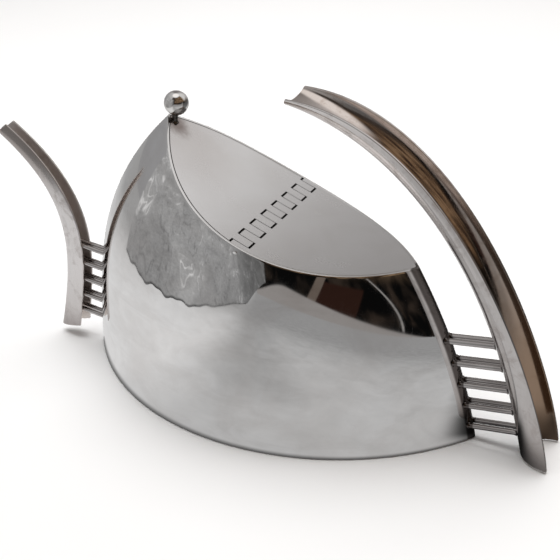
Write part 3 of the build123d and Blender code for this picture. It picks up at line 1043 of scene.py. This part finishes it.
def room_colour(tree):
    """Tones of the room by bearing (0 behind the pot, 90 to its right) and height in degrees."""
    x, y, z = parts_of(tree, place(tree, (1 / dome_radius,) * 3))
    bearing = x.maths("ARCTAN2", x, y) * math.degrees(1)
    height = z.maths("ARCSINE", z) * math.degrees(1)
    lumps = noise(tree, 900, detail=3.0, twist=0.5)
    rear = mix(tree, bearing.above(-28, 22), (0.21, 0.20, 0.195), (0.70, 0.69, 0.685))
    low_rear = mix(tree, bearing.above(8, 30), (0.46, 0.45, 0.445), (0.085, 0.07, 0.06))
    rear = mix(tree, height.above(28, 6), rear, low_rear)
    ceiling = height.above(60, 74)
    to_right = bearing.above(50, 76)
    front = bearing.above(150, 168) + bearing.above(-150, -168)
    left = bearing.above(-40, -62)
    brown = mix(tree, lumps.above(0.40, 0.60), (0.035, 0.022, 0.015), (0.26, 0.175, 0.105))
    black = mix(tree, lumps.above(0.5, 0.7), (0.003, 0.003, 0.003), (0.03, 0.022, 0.017))
    lean_in = bearing + height * 1.2
    warm_wall = lean_in.between(137, 156, 0.6) * height.between(0, 9.5, 0.8)
    low = mix(tree, warm_wall, black, (0.024, 0.011, 0.008))
    pale_strip = lean_in.between(156, 159.5, 0.6) * height.between(2, 12, 1.0)
    low = mix(tree, pale_strip, low, (0.13, 0.105, 0.088))
    cord = (bearing - (height - 4) ** 2 * 0.12).between(111.6, 112.3, 0.25)
    low = mix(tree, cord * height.above(0.5, 2), low, (0.30, 0.29, 0.28))
    brink = 0.5 + (bearing - 110) * 0.083 * bearing.above(184, 164)
    far_table = height.above(brink + 0.35, brink - 0.35)
    low = mix(tree, far_table, low, (0.275, 0.26, 0.25))
    right_room = mix(tree, height.above(11, 20), low, brown)
    left_room = mix(tree, height.above(10, 60), (0.30, 0.30, 0.305), (0.50, 0.495, 0.49))
    sides = mix(tree, left, rear, left_room)
    sides = mix(tree, to_right, sides, right_room)
    sides = mix(tree, front * height.above(14, 22), sides, (0.045, 0.036, 0.03))
    return mix(tree, ceiling, sides, (1.0, 0.985, 0.97))


give_finish(dome, glowing("room_tones", room_colour))
print("dome: radius", dome_radius, "m,", len(dome.data.polygons), "faces")

# %% [markdown]
# The table top that the silver mirrors. It is pale near the pot, where a cloth lies, greyer
# farther off and dark against the pot's foot, where no light gets in. That last shade follows the
# bow of the base: the distance to the bow's centre, less its radius.

# %% The table top
table_level = -0.0004
away_m, turn = np.meshgrid(np.linspace(0, dome_radius, 60) ** 1.5 / dome_radius**0.5,
                           np.linspace(0, 2 * math.pi, around), indexing="ij")
table = stage_grid("table_top", np.stack(
    [away_m * np.cos(turn), away_m * np.sin(turn), np.full_like(turn, table_level)], -1), around)
seen_in_silver_only(table, False)
_, _, foot_bow, foot_drop, _ = (float(v) * MM for v in lens(0.0, 0.0))


def table_colour(tree):
    """A pale cloth that falls off into a grey table, lighter to the left, with painted shade by the
    tail and under the handle.
    """
    x, y, _ = parts_of(tree, place(tree))
    away = (x * x + y * y) ** 0.5
    leftward = x.above(-0.02, -0.12)
    in_front = x.above(-0.14, -0.03) * x.above(0.10, 0.02) * y.above(-0.09, -0.16)
    near = 0.51 + leftward * 0.22 - in_front * 0.11
    far = 0.30 + leftward * 0.06
    weave = noise(tree, 45, detail=5.0, rough=0.6, twist=0.8) * 0.16 - 0.08
    tone = near + (far - near) * away.above(0.14, 0.80) + weave
    side = y.maths("ABSOLUTE", y)
    hug = (x * x + (side + foot_drop) ** 2) ** 0.5 - foot_bow
    tone = tone * (0.25 + 0.75 * hug.above(0.0002, 0.004))
    # painted shade on the table: under the handle and behind the tail
    under_handle = x.between(0.127, 0.150, 0.014) * side.above(0.024, 0.004)
    behind_tail = x.above(0.09, 0.14) * y.above(-0.035, 0.0)
    tone = tone * (1 - under_handle * 0.92) * (1 - behind_tail * 0.7)
    return grey(tree, tone * 0.9825)


give_finish(table, glowing("table_tones", table_colour))
print("bow of the base: radius", round(foot_bow, 3), "m, centre", round(foot_drop, 3), "m behind")

# %% [markdown]
# The crumpled cloth screen. It stands to the left in front of the pot, where the upper left of
# the front wall looks. A cloth simulation would give real folds, but only its mirror image shows,
# so it is a leaning sheet with a wavy plan, and its folds are a pattern of ridges: noise that is
# folded about its middle value, so that each crossing becomes a crease.

# %% Cloth screen
screen_columns = 90
bearing, rise = np.meshgrid(np.radians(np.linspace(-185.5, -94, screen_columns)),
                            np.linspace(0, 1, 40))
share = (-np.degrees(bearing) - 112) / 58
swing = 0.46 * np.maximum(share, 0) ** 4.7 + 0.45 * np.maximum(-share, 0) ** 1.5
ripples = 0.012 * np.sin(bearing * 23) + 0.006 * np.sin(bearing * 51)
away_m = (0.35 + swing + ripples) * (1 + 0.45 * rise)
lift = 1.4 * np.maximum(share - 1.08, 0) ** 1.2
screen = stage_grid("cloth_screen", np.stack(
    [away_m * np.sin(bearing), away_m * np.cos(bearing), lift + 1.1 * rise * away_m], -1),
    screen_columns)
seen_in_silver_only(screen, False)


def cloth_colour(tree):
    """Creased grey cloth: painted light on ridges, painted shade in folds, a speckled ground, and
    painted shade along its foot.
    """
    x, _, z = parts_of(tree, place(tree))
    broad = noise(tree, 130, (2.2, 2.2, 1), detail=3.0, rough=0.55, twist=0.8)
    folds = noise(tree, 70, (1.6, 1.6, 1.3), detail=2.5, twist=1.0, turn=(0.0, 0.5, 0.9))
    speckle = noise(tree, 5, (2.6, 2.6, 1), rough=0.75)
    grain = noise(tree, 16, (2.4, 2.4, 1), detail=5.0, rough=0.7, twist=0.6)
    off = folds - 0.5
    crease = 1 - off.maths("ABSOLUTE", off) * 22
    # painted light on the ridges and painted shade in the folds
    light = crease.above(0.35, 0.95) * broad.above(0.46, 0.58)
    dark = crease.above(0.5, 0.95) * broad.above(0.54, 0.42)
    blotch = grain.above(0.58, 0.70) * broad.above(0.48, 0.60)
    tone = 0.335 + (broad - 0.5) * 0.42 + (speckle - 0.5) * 0.24 + (grain - 0.5) * 0.20
    tone = tone + light * 0.26 + blotch * 0.16 - dark * 0.07
    # painted shade along the foot of the cloth, where it meets the table
    foot_shade = z.above(0.006, 0.001)
    in_shade = x.above(-0.22, -0.06) * 0.58
    return grey(tree, tone * (1 - foot_shade * 0.75) * (1 - in_shade))


give_finish(screen, glowing("cloth_tones", cloth_colour))
print("screen stands", round(float(away_m.min()), 2), "to", round(float(away_m.max()), 2), "m off")

# %% [markdown]
# What the camera sees behind the silver: a plain pale floor that runs far out, and a pale world
# past it. A wide soft lamp overhead lights the floor and gives the pot its soft shadow; it isn't
# seen in the silver, where the dome's ceiling stands for it.

# %% Floor, lamp and world
floor_half, floor_level = 14.0, -0.0008
floor = stage_grid("floor", [[(a, b, floor_level) for a in (-floor_half, floor_half)]
                             for b in (-floor_half, floor_half)], 2)
floor.visible_glossy = False
floor_material, floor_tree = new_tree("pale_floor")
floor_tint = mix(floor_tree, noise(floor_tree, 250, detail=2.0), (0.93, 0.93, 0.93),
                 (0.95, 0.95, 0.95))
finish_tree(floor_tree, node(floor_tree, "ShaderNodeBsdfDiffuse", {}, {"Color": floor_tint}))
give_finish(floor, floor_material)

lamp_data = bpy.data.lights.new("overhead", "AREA")
lamp_data.shape, lamp_data.size = "DISK", 1.6
lamp_data.energy = 26.0
lamp = bpy.data.objects.new("overhead", lamp_data)
lamp.location = (-0.15, 0.25, 1.7)
bpy.context.scene.collection.objects.link(lamp)
lamp.visible_glossy = False
lamp.visible_camera = False

world = bpy.data.worlds.new("pale_world")
world.use_nodes = True
world.node_tree.nodes["Background"].inputs["Color"].default_value = (0.95, 0.95, 0.95, 1)
bpy.context.scene.world = world
bpy.context.scene.view_settings.view_transform = "Standard"
print("lamp power, W:", lamp_data.energy)

# %% [markdown]
# The box round the new pieces should be the box round the CAD pieces to a few tenths of a
# millimetre.
